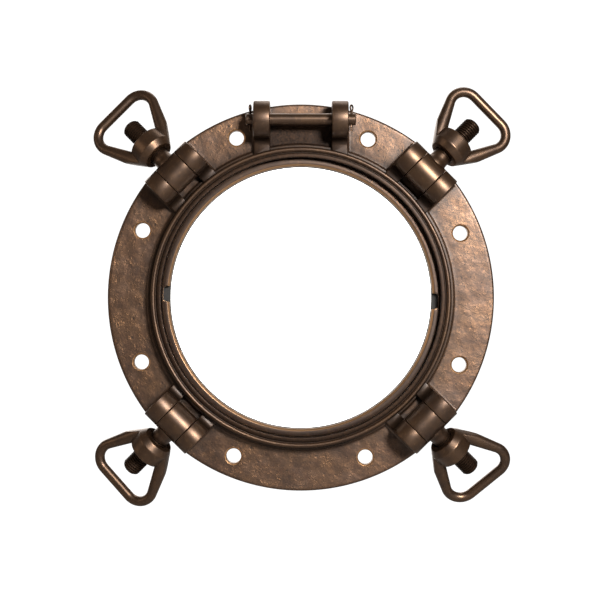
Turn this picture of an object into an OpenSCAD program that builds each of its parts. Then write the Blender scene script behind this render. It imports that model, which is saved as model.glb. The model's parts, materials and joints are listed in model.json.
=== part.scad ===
// Round ship's window with a fixed light, four swing-bolt dogs and the lugs of a missing cover.
// It stands as in a wall: +Z is up, the inboard side with the dogs faces -Y, and the origin is
// the centre of the light on the flange's back face, which lies on the wall.

/* [Light and glass] */
// Clear diameter of the light, inside the gaskets
light_d = 300; // [240:1:340]
// Thickness of the glass
glass_t = 12; // [6:0.5:16]
// Gap between the edge of the glass and the casting
glass_gap = 1.2; // [0.5:0.1:2]
// Thickness of each of the two flat gaskets
gasket_t = 2; // [1:0.5:3]

/* [Retaining ring] */
// Thickness of the screwed ring that holds the glass
ring_t = 8; // [6:0.5:12]
// Width of the ring's face, from its bore to the open gap round it
ring_w = 8; // [6:0.5:12]
// How far the ring's bore stands back from the gasket's edge
ring_setback = 0.8; // [0.3:0.1:2]
// Open gap round the ring's face
ring_gap = 1.4; // [0.8:0.1:2]
// Width of the bevel on the ring's inner edge
ring_bevel = 2.6; // [0.5:0.1:4]
// Width of each of the two spanner notches
notch_w = 18; // [10:0.5:24]
// Angle that the tightened ring stopped at
ring_turn = -1.6; // [-90:0.1:90]

/* [Flange and rim] */
// Diameter of the flange
flange_d = 445; // [436:1:500]
// Thickness of the flange
flange_t = 12; // [8:0.5:18]
// Width of the rim's top
rim_w = 11.8; // [9:0.1:16]
// Height of the rim above the flange
rim_h = 18; // [12:0.5:26]
// Depth of the ring's face below the top of the rim
ring_depth = 13; // [4:0.5:16]
// Radius of the round bead along the rim's outer edge
bead_r = 3; // [2:0.1:4]
// Width and height of the small step round the foot of the rim
step_w = 3.4; // [2:0.1:5]
// Radius of the hollow between the step and the flange
foot_r = 3; // [1:0.5:5]
// Bevel round the edge of the flange
edge_bevel = 2.2; // [0.5:0.1:3]

/* [Neck] */
// Length of the neck behind the flange
neck_len = 35; // [30:1:80]
// Wall of the neck
neck_wall = 9; // [6:0.5:14]
// Thickness of the seat that carries the glass
seat_t = 4.5; // [3:0.5:8]

/* [Mounting holes] */
// Diameter of the circle of mounting holes
hole_circle_d = 396; // [394:1:420]
// Diameter of a mounting hole
hole_d = 17; // [10:0.5:20]
// Angle that the circle of holes is off the middle between the dogs
hole_turn = -0.5; // [-2:0.1:2]
// Bevel at the mouth of a mounting hole
hole_bevel = 0.8; // [0.2:0.1:1.5]

/* [Dogs] */
// Radius of the circle that the dogs' pivots lie on
dog_pivot_r = 200; // [196:0.5:220]
// Height of the pivots above the flange
dog_pivot_h = 20.5; // [20:0.5:30]
// Radius of the round heads of the lugs and of the swing bolt's eye
dog_eye_r = 19; // [15:0.5:19.5]
// Width of the swing bolt's eye
dog_eye_w = 28.6; // [24:0.2:36]
// Width of one lug
dog_lug_w = 18; // [12:0.5:20]
// Side gap between the eye and each lug
dog_side_gap = 0.4; // [0.3:0.05:1]
// Diameter of a dog's pivot pin
dog_pin_d = 14; // [10:0.5:18]
// Angle of each dog behind the plane of the flange, from the upper right one round to the lower right
dog_lean = [15, 20, 20, 20]; // [0:1:30]

/* [Swing bolts] */
// Diameter of the threaded shank
bolt_d = 22; // [16:0.5:24]
// Length from the pivot to the end of the thread
bolt_len = 84.5; // [76:0.5:92]
// Bevel at the end of the thread
bolt_bevel = 3; // [1:0.5:4]
// Radial running clearance of the nut on the thread, and of an eye on its pin
run_fit = 0.05; // [0.02:0.01:0.1]

/* [Handle nuts] */
// Pivot to the inner face of the nut
nut_seat = 31.4; // [30:0.1:36]
// Height of the nut's boss
nut_h = 24.2; // [18:0.1:28]
// Diameter of the boss at its widest
nut_d = 45; // [38:0.5:46]
// Diameter of the flat face at the foot of the boss
nut_face_d = 35; // [30:0.5:38]
// Length of the cone between that face and the widest part
nut_cone_h = 7.5; // [4:0.5:10]
// Thickness of the bar of the loop
bail_d = 10.8; // [7:0.2:14]
// Pivot to the middle of the loop's outer bar
bail_reach = 109.5; // [104:0.5:125]
// Half of the loop's width, to the middle of its bar
bail_half_w = 40.1; // [32:0.1:50]
// Radius of the loop's two round corners
bail_corner_r = 18; // [12:0.5:22]
// Half of the angle between the loop's two arms
bail_spread = 24; // [18:0.5:30]
// Thickness of the arms where they leave the boss
arm_root_d = 14; // [12:0.5:16]
// Angle that each nut was left at, in the order of dog_lean
nut_turn = [2, 0, 7, 12]; // [0:1:45]

/* [Cover hinge] */
// Distance from the centre of the light to the hinge pin
hinge_r = 202.5; // [200:0.5:215]
// Height of the hinge pin above the flange
hinge_h = 21.5; // [20:0.5:30]
// Radius of the round heads of the hinge lugs
hinge_lug_r = 21; // [16:0.5:21]
// Width of one hinge lug
hinge_lug_w = 19; // [12:0.5:24]
// Clear width between the two hinge lugs
hinge_gap = 70; // [60:0.5:76]
// Diameter of the hinge pin
hinge_pin_d = 13.5; // [10:0.5:16]
// How far the pin stands out of each lug
hinge_pin_out = 8.6; // [8:0.1:12]
// Diameter of the holes for the split pins
split_hole_d = 4.2; // [3:0.1:5]
// Distance from a lug to the middle of its split pin
split_pin_off = 3.6; // [3.4:0.1:5]

/* [Hidden] */

$fn = 96;
eps = 0.5;                                    // overshoot of a cut past the face it opens
bronze = [0.40, 0.31, 0.22];
ring_bronze = [0.45, 0.34, 0.25];
pin_bronze = [0.42, 0.34, 0.26];
bolt_bronze = [0.26, 0.22, 0.19];
glass_tint = [0.80, 0.86, 0.84, 0.35];
rubber_black = [0.08, 0.08, 0.08];

light_r = light_d / 2;
ring_in_r = light_r + ring_setback;
ring_out_r = ring_in_r + ring_w;
bore_r = ring_out_r + ring_gap;               // bore that holds the glass, the gaskets and the ring
thread_gap = 0.1;                             // radial clearance of the ring's thread in that bore
glass_r = bore_r - glass_gap;
rim_r = bore_r + rim_w;
step_r = rim_r + step_w;
neck_r = bore_r + neck_wall;
flange_r = flange_d / 2;

rim_top = flange_t + rim_h;
ring_top = rim_top - ring_depth;
ring_base = ring_top - ring_t;
glass_top = ring_base - gasket_t;
glass_base = glass_top - glass_t;
seat_top = glass_base - gasket_t;

hole_count = 8;                               // two between each pair of dogs
back_bevel = 1;                               // bevel round the back of the flange
step_h = 1.6;                                 // height of the step above the hollow at its foot
step_bevel = 0.8;                             // bevels of that step
mouth_bevel = 0.6;                            // bevel at the mouth of the bore
band_drop = 2;                                // flat band inside the bead, below the top of the rim
groove_r = 1.3;                               // round groove between the band and the bead
seat_setback = 1.2;                           // the seat's edge stands back from the gasket's
root_sink = 5;                                // how far a lug's foot reaches into the rim

dog_angles = [45, 135, 225, 315];
dog_pivot_z = flange_t + dog_pivot_h;
hinge_z = flange_t + hinge_h;
foot_height = 8.5;                            // height of a lug's foot above the flange
foot_hollow = 9;                              // radius of the hollow between a lug's foot and its head
head_step = 0.4;                              // the flats of a lug lie this far inside its round head
side_fillet = 3;                              // hollow along the sides of a lug
boss_taper = 0.8;                             // how much the nut's body thins towards the loop
bar_lap = 0.8;                                // how far the loop's straight bars run into its corners
bar_step = 0.05;                              // how much thinner they are there
fillet_steps = 6;

hinge_pin_half = hinge_gap / 2 + hinge_lug_w + hinge_pin_out;
split_x = hinge_gap / 2 + hinge_lug_w + split_pin_off;
split_wire = 1.3;                             // radius of one leg of a split pin
split_eye_r = 3.2;                            // radius of the eye, to the middle of its wire
split_leg_off = 0.75;                         // from the middle of the shank to that of a leg
split_leg = 6.5;                              // length of the legs below the hinge pin
split_spread = 9;                             // angle that each leg is bent out

// Points along an arc about [cx, cy], from angle a0 to a1
function arc(cx, cy, r, a0, a1, steps) =
    [for (i = [0:steps]) let (a = a0 + (a1 - a0) * i / steps) [cx + r * cos(a), cy + r * sin(a)]];

// Stands a part drawn flat, front up, into the wall
module upright() { rotate([90, 0, 0]) children(); }

// Puts a child, drawn pointing along +X from its pivot, at dog number i
module at_dog(i) {
    rotate([0, 0, dog_angles[i]])
        translate([dog_pivot_r, 0, dog_pivot_z])
            rotate([0, dog_lean[i], 0]) children();
}

// Flat ring between two radii
module flat_ring(r_in, r_out, z, h) {
    translate([0, 0, z]) rotate_extrude($fn = 180) translate([r_in, 0]) square([r_out - r_in, h]);
}

// Half section of the casting: neck, glass seat, flange and rim
module frame_section() {
    seat_r = light_r + seat_setback;
    bead_x = rim_r - bead_r;
    step_z = flange_t + foot_r + step_h;
    difference() {
        union() {
            polygon(concat(
                [[seat_r, seat_top - seat_t], [bore_r, seat_top - seat_t - (bore_r - seat_r)],
                 [bore_r, -neck_len], [neck_r, -neck_len], [neck_r, 0],
                 [flange_r - back_bevel, 0], [flange_r, back_bevel], [flange_r, flange_t - edge_bevel],
                 [flange_r - edge_bevel, flange_t]],
                arc(step_r + foot_r, flange_t + foot_r, foot_r, 270, 180, fillet_steps),
                [[step_r, step_z - step_bevel], [step_r - step_bevel, step_z],
                 [rim_r + step_bevel, step_z], [rim_r, step_z + step_bevel],
                 [rim_r, rim_top - bead_r], [bead_x, rim_top - bead_r],
                 [bead_x, rim_top - band_drop], [bore_r + mouth_bevel, rim_top - band_drop],
                 [bore_r, rim_top - band_drop - mouth_bevel], [bore_r, seat_top], [seat_r, seat_top]]));
            translate([bead_x, rim_top - bead_r]) circle(bead_r);
        }
        translate([bead_x - bead_r - 0.3, rim_top - band_drop + 0.2]) circle(groove_r, $fn = 32);
    }
}

// Side view of a lug: round head at [pivot_r, pivot_z], straight outer side, hollow foot to the rim
module lug_section(pivot_r, pivot_z, head_r, root_x) {
    back_x = pivot_r - head_r + head_step;
    front_x = pivot_r + head_r - head_step;
    foot_z = flange_t + foot_height;
    translate([pivot_r, pivot_z]) circle(head_r);
    polygon(concat(
        [[front_x, 0], [front_x, pivot_z], [back_x, pivot_z]],
        arc(back_x - foot_hollow, foot_z + foot_hollow, foot_hollow, 0, -80, fillet_steps),
        [[root_x, foot_z], [root_x, 0]]));
}

// Hollow along one side of a lug, drawn along +X from x0 to x1 against the plane y = 0
module side_hollow(x0, x1) {
    translate([x0, 0, flange_t - eps])
        rotate([90, 0, 90])
            linear_extrude(x1 - x0)
                polygon(concat([[-eps, 0], [side_fillet, 0]],
                    arc(side_fillet, side_fillet + eps, side_fillet, 270, 184, fillet_steps),
                    [[-eps, side_fillet + eps]]));
}

// One lug with its inner face at y = y0, pointing away from the centre along +X
module lug(pivot_r, pivot_z, head_r, root_x, y0, w) {
    x0 = root_x + root_sink;
    edge_x = sqrt(pow(flange_r - edge_bevel, 2) - pow(y0 + w + side_fillet, 2));
    x1 = min(pivot_r + head_r - 1, edge_x - 0.6);
    translate([0, y0 + w, 0])
        rotate([90, 0, 0]) linear_extrude(w) lug_section(pivot_r, pivot_z, head_r, root_x);
    translate([0, y0 + w, 0]) side_hollow(x0, x1);
}

module dog_lugs() {
    inner = dog_eye_w / 2 + dog_side_gap;
    root_x = rim_r - root_sink;
    for (a = dog_angles, side = [0, 1])
        rotate([0, 0, a]) mirror([0, side, 0])
            lug(dog_pivot_r, dog_pivot_z, dog_eye_r, root_x, inner, dog_lug_w);
}

module hinge_lugs() {
    outer = hinge_gap / 2 + hinge_lug_w;
    root_x = sqrt(pow(rim_r - root_sink, 2) - pow(outer, 2));
    for (side = [0, 1])
        rotate([0, 0, 90]) mirror([0, side, 0])
            lug(hinge_r, hinge_z, hinge_lug_r, root_x, hinge_gap / 2, hinge_lug_w);
}

// Bores through the lugs, along the pins
module pin_bores() {
    dog_half = dog_eye_w / 2 + dog_side_gap + dog_lug_w + eps;
    hinge_half = hinge_gap / 2 + hinge_lug_w + eps;
    for (a = dog_angles)
        rotate([0, 0, a]) translate([dog_pivot_r, 0, dog_pivot_z])
            rotate([90, 0, 0]) cylinder(r = dog_pin_d / 2 + run_fit, h = 2 * dog_half, center = true);
    translate([0, hinge_r, hinge_z])
        rotate([0, 90, 0]) cylinder(r = hinge_pin_d / 2 + run_fit, h = 2 * hinge_half, center = true);
}

module mounting_holes() {
    for (k = [0:hole_count - 1])
        rotate([0, 0, 360 / hole_count * (k + 0.5) + hole_turn])
            translate([hole_circle_d / 2, 0, 0]) {
                translate([0, 0, -eps]) cylinder(d = hole_d, h = flange_t + 2 * eps);
                translate([0, 0, flange_t - hole_bevel])
                    cylinder(d1 = hole_d, d2 = hole_d + 2 * (hole_bevel + eps), h = hole_bevel + eps);
            }
}

module frame_casting() {
    color(bronze) upright() difference() {
        union() {
            rotate_extrude($fn = 180) frame_section();
            dog_lugs();
            hinge_lugs();
        }
        pin_bores();
        mounting_holes();
    }
}

module glass_pane() {
    bevel = 1;
    color(glass_tint) upright() rotate_extrude($fn = 180)
        polygon([[0, glass_base], [glass_r - bevel, glass_base], [glass_r, glass_base + bevel],
                 [glass_r, glass_top - bevel], [glass_r - bevel, glass_top], [0, glass_top]]);
}

module front_gasket() { color(rubber_black) upright() flat_ring(light_r, glass_r, glass_top, gasket_t); }

module rear_gasket() { color(rubber_black) upright() flat_ring(light_r, glass_r, seat_top, gasket_t); }

// Ring with a threaded foot, a bevelled inner edge and two spanner notches
module retaining_ring() {
    thread_h = ring_t * 0.6;
    notch_deep = ring_w - 1;
    color(ring_bronze) upright() rotate([0, 0, ring_turn]) difference() {
        rotate_extrude($fn = 180)
            polygon([[ring_in_r, ring_base], [bore_r - thread_gap, ring_base],
                     [bore_r - thread_gap, ring_base + thread_h], [ring_out_r, ring_base + thread_h],
                     [ring_out_r, ring_top - 0.5], [ring_out_r - 0.5, ring_top],
                     [ring_in_r + ring_bevel, ring_top], [ring_in_r, ring_top - ring_bevel * 0.7]]);
        for (side = [0, 180])
            rotate([0, 0, side]) translate([ring_in_r - eps, 0, ring_base - eps])
                linear_extrude(ring_t + 2 * eps) intersection() {
                    translate([0, -notch_w / 2]) square([notch_deep + eps, notch_w]);
                    translate([-notch_w * 0.1, 0]) circle(notch_w * 0.56);
                }
    }
}

// Plain pin along X with bevelled ends and a cross hole for a split pin near each end
module hinge_pin() {
    bevel = 1.2;
    r = hinge_pin_d / 2;
    color(pin_bronze) upright() translate([0, hinge_r, hinge_z]) difference() {
        rotate([0, 90, 0]) rotate_extrude()
            polygon([[0, -hinge_pin_half], [r - bevel, -hinge_pin_half], [r, bevel - hinge_pin_half],
                     [r, hinge_pin_half - bevel], [r - bevel, hinge_pin_half], [0, hinge_pin_half]]);
        for (x = [-split_x, split_x])
            translate([x, 0, 0]) rotate([90, 0, 0])
                cylinder(d = split_hole_d, h = hinge_pin_d + 2 * eps, center = true);
    }
}

// Split pin standing in the hinge pin's cross hole, eye outwards and legs bent apart below
module split_pin(x) {
    shank_r = split_hole_d / 2 - run_fit;
    shank_top = hinge_pin_d / 2 + 1;
    shank_bottom = -hinge_pin_d / 2 - 0.6;
    lap = 0.5;
    color(pin_bronze) upright() translate([x, hinge_r, hinge_z]) {
        rotate([-90, 0, 0]) translate([0, 0, shank_bottom])
            cylinder(r = shank_r, h = shank_top - shank_bottom, $fn = 32);
        translate([0, shank_top + split_eye_r - lap, 0]) rotate([0, 90, 0])
            rotate_extrude($fn = 48) translate([split_eye_r, 0]) circle(split_wire, $fn = 24);
        for (side = [-1, 1])
            translate([side * split_leg_off, shank_bottom + lap, 0]) rotate([90, 0, side * split_spread])
                cylinder(r = split_wire, h = split_leg, $fn = 24);
    }
}

module split_pin_left() { split_pin(-split_x); }

module split_pin_right() { split_pin(split_x); }

// Pivot pin of dog i, flush with the outer sides of its lugs
module dog_pin(i) {
    half = dog_eye_w / 2 + dog_side_gap + dog_lug_w;
    color(pin_bronze) upright() rotate([0, 0, dog_angles[i]])
        translate([dog_pivot_r, 0, dog_pivot_z])
            rotate([90, 0, 0]) cylinder(d = dog_pin_d, h = 2 * half, center = true);
}

// Eye with a straight shank, a small neck and a bevelled end to the thread
module swing_bolt(i) {
    r = bolt_d / 2;
    neck_x = dog_eye_r - 1;
    color(bolt_bronze) upright() at_dog(i) difference() {
        union() {
            rotate([90, 0, 0]) cylinder(r = dog_eye_r, h = dog_eye_w, center = true);
            rotate([0, 90, 0]) rotate_extrude()
                polygon([[0, 0], [r + 2, 0], [r + 2, neck_x - 2], [r, neck_x + 3],
                         [r, bolt_len - bolt_bevel], [r - bolt_bevel, bolt_len], [0, bolt_len]]);
        }
        rotate([90, 0, 0]) cylinder(r = dog_pin_d / 2 + run_fit, h = dog_eye_w + 2 * eps, center = true);
    }
}

// Boss of the handle nut about X: flat face, cone, and a round body
module nut_boss() {
    r = nut_d / 2;
    end_bevel = 1.5;
    top_r = r - boss_taper;
    top = nut_seat + nut_h;
    rotate([0, 90, 0]) rotate_extrude()
        polygon([[0, nut_seat], [nut_face_d / 2, nut_seat], [r, nut_seat + nut_cone_h],
                 [top_r, top - end_bevel], [top_r - end_bevel, top], [0, top]]);
}

// One arm of the loop, thinning away from the boss, and the round corner that it runs into
module bail_side() {
    r = bail_d / 2;
    cx = bail_reach - bail_corner_r;
    cy = bail_half_w - bail_corner_r;
    end = [cx - bail_corner_r * sin(bail_spread), cy + bail_corner_r * cos(bail_spread)];
    arm = (end[0] - nut_seat - nut_h / 2) / cos(bail_spread);
    translate([end[0], end[1], 0]) rotate([0, -90, bail_spread]) translate([0, 0, -bar_lap])
        cylinder(r1 = r - bar_step, r2 = arm_root_d / 2, h = arm + bar_lap);
    translate([cx, cy, 0]) rotate_extrude(angle = 90 + bail_spread)
        translate([bail_corner_r, 0]) circle(r);
}

// Loop handle: two arms, two corners and the outer bar between them
module bail() {
    bar_half = bail_half_w - bail_corner_r + bar_lap;
    for (side = [0, 1]) mirror([0, side, 0]) bail_side();
    translate([bail_reach, 0, 0]) rotate([90, 0, 0])
        cylinder(r = bail_d / 2 - bar_step, h = 2 * bar_half, center = true);
}

module handle_nut(i) {
    lead_in = 1.4;
    r = bolt_d / 2 + run_fit;
    color(bronze) upright() at_dog(i) rotate([nut_turn[i], 0, 0]) difference() {
        union() {
            nut_boss();
            bail();
        }
        translate([nut_seat - eps, 0, 0]) rotate([0, 90, 0]) cylinder(r = r, h = nut_h + 2 * eps);
        translate([nut_seat - eps, 0, 0]) rotate([0, 90, 0])
            cylinder(r1 = r + lead_in + eps, r2 = r, h = lead_in + eps);
    }
}

frame_casting();
glass_pane();
front_gasket();
rear_gasket();
retaining_ring();
hinge_pin();
split_pin_left();
split_pin_right();
dog_pin(0);  // dog_pin_upper_right
dog_pin(1);  // dog_pin_upper_left
dog_pin(2);  // dog_pin_lower_left
dog_pin(3);  // dog_pin_lower_right
swing_bolt(0);  // swing_bolt_upper_right
swing_bolt(1);  // swing_bolt_upper_left
swing_bolt(2);  // swing_bolt_lower_left
swing_bolt(3);  // swing_bolt_lower_right
handle_nut(0);  // handle_nut_upper_right
handle_nut(1);  // handle_nut_upper_left
handle_nut(2);  // handle_nut_lower_left
handle_nut(3);  // handle_nut_lower_right
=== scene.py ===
"""Ship's round window in patinated bronze: fixed glass, four swing-bolt dogs, lugs of a missing cover."""
import json
import logging
import math
from dataclasses import dataclass
from enum import Enum
from typing import Callable, Iterable, Sequence

import bpy
from mathutils import Matrix, Vector


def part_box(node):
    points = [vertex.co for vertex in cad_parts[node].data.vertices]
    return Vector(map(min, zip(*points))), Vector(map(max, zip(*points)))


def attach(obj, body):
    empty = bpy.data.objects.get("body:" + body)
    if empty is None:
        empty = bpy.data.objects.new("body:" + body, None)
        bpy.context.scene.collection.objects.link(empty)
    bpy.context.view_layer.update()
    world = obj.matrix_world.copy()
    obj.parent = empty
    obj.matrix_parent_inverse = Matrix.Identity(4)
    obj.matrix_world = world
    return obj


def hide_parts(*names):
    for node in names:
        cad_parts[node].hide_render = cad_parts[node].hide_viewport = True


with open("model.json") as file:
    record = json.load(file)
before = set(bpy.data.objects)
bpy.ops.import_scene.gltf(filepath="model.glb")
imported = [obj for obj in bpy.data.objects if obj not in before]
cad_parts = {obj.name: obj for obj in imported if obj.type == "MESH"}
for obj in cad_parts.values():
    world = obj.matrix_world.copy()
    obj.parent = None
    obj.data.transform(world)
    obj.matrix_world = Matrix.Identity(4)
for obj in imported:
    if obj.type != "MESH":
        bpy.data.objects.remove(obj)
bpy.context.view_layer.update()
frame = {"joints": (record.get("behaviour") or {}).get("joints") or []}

MM = 0.001
LOG = logging.getLogger("round_window")
Point = tuple[float, float]


class Axis(Enum):
    """Axis that a turned shape spins about."""

    WINDOW = "window"
    BOLT = "bolt"
    PIN = "pin"


AXIS_DIRECTION = {
    Axis.WINDOW: Vector((0, 1, 0)),
    Axis.BOLT: Vector((1, 0, 0)),
    Axis.PIN: Vector((0, 1, 0)),
}


class Corner(Enum):
    """The four places of the dogs, named as in the record."""

    UPPER_RIGHT = "upper_right"
    UPPER_LEFT = "upper_left"
    LOWER_LEFT = "lower_left"
    LOWER_RIGHT = "lower_right"


def arc(cx: float, cy: float, r: float, start: float, end: float, steps: int) -> list[Point]:
    """Points along an arc.

    Args:
        cx: First coordinate of the centre, in mm.
        cy: Second coordinate of the centre, in mm.
        r: Radius in mm.
        start: First angle in degrees.
        end: Last angle in degrees.
        steps: Number of equal steps between the two.

    Returns:
        steps + 1 points in mm.
    """
    points = []
    for i in range(steps + 1):
        a = math.radians(start + (end - start) * i / steps)
        points.append((cx + r * math.cos(a), cy + r * math.sin(a)))
    return points


def line(start: Point, end: Point, steps: int) -> list[Point]:
    """Points along a straight stretch, without its last one.

    Args:
        start: First point in mm.
        end: Point that the stretch runs to, in mm.
        steps: Number of equal steps.

    Returns:
        steps points in mm.
    """
    return [
        (start[0] + (end[0] - start[0]) * i / steps, start[1] + (end[1] - start[1]) * i / steps)
        for i in range(steps)
    ]


class Bench:
    """Modelling moves, each on one piece that is alone selected."""

    @staticmethod
    def take(piece: bpy.types.Object) -> None:
        """Leaves edit mode and makes one piece the only selected and active one.

        Args:
            piece: The piece.
        """
        if bpy.context.mode != "OBJECT":
            bpy.ops.object.mode_set(mode="OBJECT")
        bpy.ops.object.select_all(action="DESELECT")
        piece.select_set(True)
        bpy.context.view_layer.objects.active = piece

    @staticmethod
    def clear() -> None:
        """Leaves edit mode with nothing selected."""
        if bpy.context.mode != "OBJECT":
            bpy.ops.object.mode_set(mode="OBJECT")
        bpy.ops.object.select_all(action="DESELECT")

    @staticmethod
    def edit(piece: bpy.types.Object, kind: str, test: Callable[[Vector], bool] | None = None) -> None:
        """Opens a piece in edit mode with vertices or faces selected by their place.

        Args:
            piece: The piece to work on.
            kind: VERT or FACE.
            test: Says by the place, in metres, whether an element is selected; None selects all.
        """
        Bench.take(piece)
        mesh = piece.data
        for group in (mesh.vertices, mesh.edges, mesh.polygons):
            for element in group:
                element.select = test is None
        if test is not None:
            for element in mesh.vertices if kind == "VERT" else mesh.polygons:
                element.select = test(element.co if kind == "VERT" else element.center)
        bpy.ops.object.mode_set(mode="EDIT")
        bpy.ops.mesh.select_mode(type=kind)

    @staticmethod
    def done() -> None:
        """Leaves edit mode."""
        bpy.ops.object.mode_set(mode="OBJECT")

    @staticmethod
    def wire(name: str, points: Sequence[Vector], closed: bool) -> bpy.types.Object:
        """A chain of edges, drawn by extruding one vertex from point to point.

        Args:
            name: Name of the new piece.
            points: Places in metres.
            closed: Whether an edge joins the last point to the first.

        Returns:
            The new piece.
        """
        Bench.clear()
        bpy.ops.mesh.primitive_plane_add(size=MM, location=points[0])
        piece = bpy.context.active_object
        piece.name = piece.data.name = name
        bpy.ops.object.transform_apply(location=True, rotation=True, scale=True)
        bpy.ops.object.mode_set(mode="EDIT")
        bpy.ops.mesh.select_mode(type="VERT")
        bpy.ops.mesh.select_all(action="SELECT")
        bpy.ops.mesh.merge(type="CENTER")
        for before, after in zip(points, points[1:]):
            bpy.ops.mesh.extrude_vertices_move(TRANSFORM_OT_translate={"value": after - before})
        Bench.done()
        if closed:
            ends = (0, len(piece.data.vertices) - 1)
            for vertex in piece.data.vertices:
                vertex.select = vertex.index in ends
            bpy.ops.object.mode_set(mode="EDIT")
            bpy.ops.mesh.edge_face_add()
            Bench.done()
        return piece

    @staticmethod
    def place(axis: Axis, along: float, r: float) -> Vector:
        """A profile point's place in metres.

        Args:
            axis: Axis that the profile belongs to.
            along: Distance along the axis in mm; for the window it counts from the wall to the room.
            r: Distance from the axis in mm.

        Returns:
            The place in metres.
        """
        if axis is Axis.WINDOW:
            return Vector((r, -along, 0)) * MM
        if axis is Axis.PIN:
            return Vector((r, along, 0)) * MM
        return Vector((along, 0, r)) * MM

    @staticmethod
    def lathe(
        name: str, axis: Axis, profile: Sequence[Point], steps: int, closed: bool = True
    ) -> bpy.types.Object:
        """A turned shape.

        Args:
            name: Name of the new piece.
            axis: Axis to spin about.
            profile: Points (radius, distance along the axis) in mm.
            steps: Number of steps round the axis.
            closed: Whether the profile is a closed outline; otherwise both its ends lie on the axis.

        Returns:
            The new piece, closed and with its faces outwards.
        """
        points = [Bench.place(axis, along, r) for r, along in profile]
        piece = Bench.wire(name, points, closed)
        Bench.edit(piece, "VERT")
        bpy.ops.mesh.spin(
            steps=steps, angle=math.tau, center=(0, 0, 0), axis=AXIS_DIRECTION[axis], use_auto_merge=False
        )
        Bench.tidy(piece)
        return piece

    @staticmethod
    def tidy(piece: bpy.types.Object, gap: float = 0.004) -> None:
        """Merges doubles within gap mm and turns the faces outwards."""
        Bench.edit(piece, "VERT")
        bpy.ops.mesh.remove_doubles(threshold=gap * MM)
        bpy.ops.mesh.normals_make_consistent(inside=False)
        Bench.done()

    @staticmethod
    def prism(name: str, outline: Sequence[Vector], depth: Vector) -> bpy.types.Object:
        """A flat outline extruded straight.

        Args:
            name: Name of the new piece.
            outline: Places of its corners in metres.
            depth: The way that it is extruded, in metres.

        Returns:
            The new piece, closed and with its faces outwards.
        """
        piece = Bench.wire(name, outline, closed=False)
        Bench.edit(piece, "VERT")
        bpy.ops.mesh.edge_face_add()
        bpy.ops.mesh.extrude_region_move(TRANSFORM_OT_translate={"value": depth})
        Bench.tidy(piece)
        return piece

    @staticmethod
    def apply(piece: bpy.types.Object, kind: str, **settings: object) -> None:
        """Adds one modifier and applies it.

        Args:
            piece: The piece that gets it.
            kind: Type of the modifier.
            settings: Its settings.
        """
        Bench.take(piece)
        modifier = piece.modifiers.new(kind.title(), kind)
        for key, value in settings.items():
            setattr(modifier, key, value)
        bpy.ops.object.modifier_apply(modifier=modifier.name)

    @staticmethod
    def bevel(piece: bpy.types.Object, width: float, segments: int, angle: float = 35) -> None:
        """Rounds every edge sharper than angle degrees to width mm."""
        Bench.apply(
            piece, "BEVEL", width=width * MM, segments=segments, limit_method="ANGLE",
            angle_limit=math.radians(angle), use_clamp_overlap=True, miter_outer="MITER_ARC",
        )

    @staticmethod
    def combine(piece: bpy.types.Object, tool: bpy.types.Object, operation: str) -> None:
        """Joins, cuts or trims a piece with another, which is used up.

        Args:
            piece: The piece that stays.
            tool: The piece that is used up.
            operation: UNION, DIFFERENCE or INTERSECT.
        """
        Bench.apply(piece, "BOOLEAN", object=tool, operation=operation, solver="EXACT")
        mesh = tool.data
        bpy.data.objects.remove(tool)
        bpy.data.meshes.remove(mesh)

    @staticmethod
    def copy(piece: bpy.types.Object, name: str, where: Matrix) -> bpy.types.Object:
        """A copy with its own mesh, set in place with its object left at the origin.

        Args:
            piece: The piece to copy.
            name: Name of the copy.
            where: Its place.

        Returns:
            The copy.
        """
        Bench.take(piece)
        bpy.ops.object.duplicate(linked=False)
        twin = bpy.context.active_object
        twin.name = twin.data.name = name
        twin.matrix_world = where
        bpy.ops.object.transform_apply(location=True, rotation=True, scale=True)
        return twin

    @staticmethod
    def discard(piece: bpy.types.Object) -> None:
        """Removes a piece that was only copied from."""
        mesh = piece.data
        bpy.data.objects.remove(piece)
        bpy.data.meshes.remove(mesh)

    @staticmethod
    def smooth(piece: bpy.types.Object, angle: float = 32) -> None:
        """Shades smooth over edges softer than angle degrees."""
        Bench.take(piece)
        bpy.ops.object.shade_smooth_by_angle(angle=math.radians(angle))


def hand_over(
    piece: bpy.types.Object, material: bpy.types.Material, body: str, slot: str, nodes: Sequence[str]
) -> None:
    """Dresses a finished piece and gives it to its CAD body.

    Args:
        piece: The finished piece.
        material: Its material.
        body: Name of the CAD body that it rides on.
        slot: Material slot of the record; not used.
        nodes: CAD nodes that it stands for.
    """
    piece.data.materials.clear()
    piece.data.materials.append(material)
    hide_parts(*nodes)
    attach(piece, body)
    LOG.info("%s: %d faces, rides on %s", piece.name, len(piece.data.polygons), body)


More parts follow.
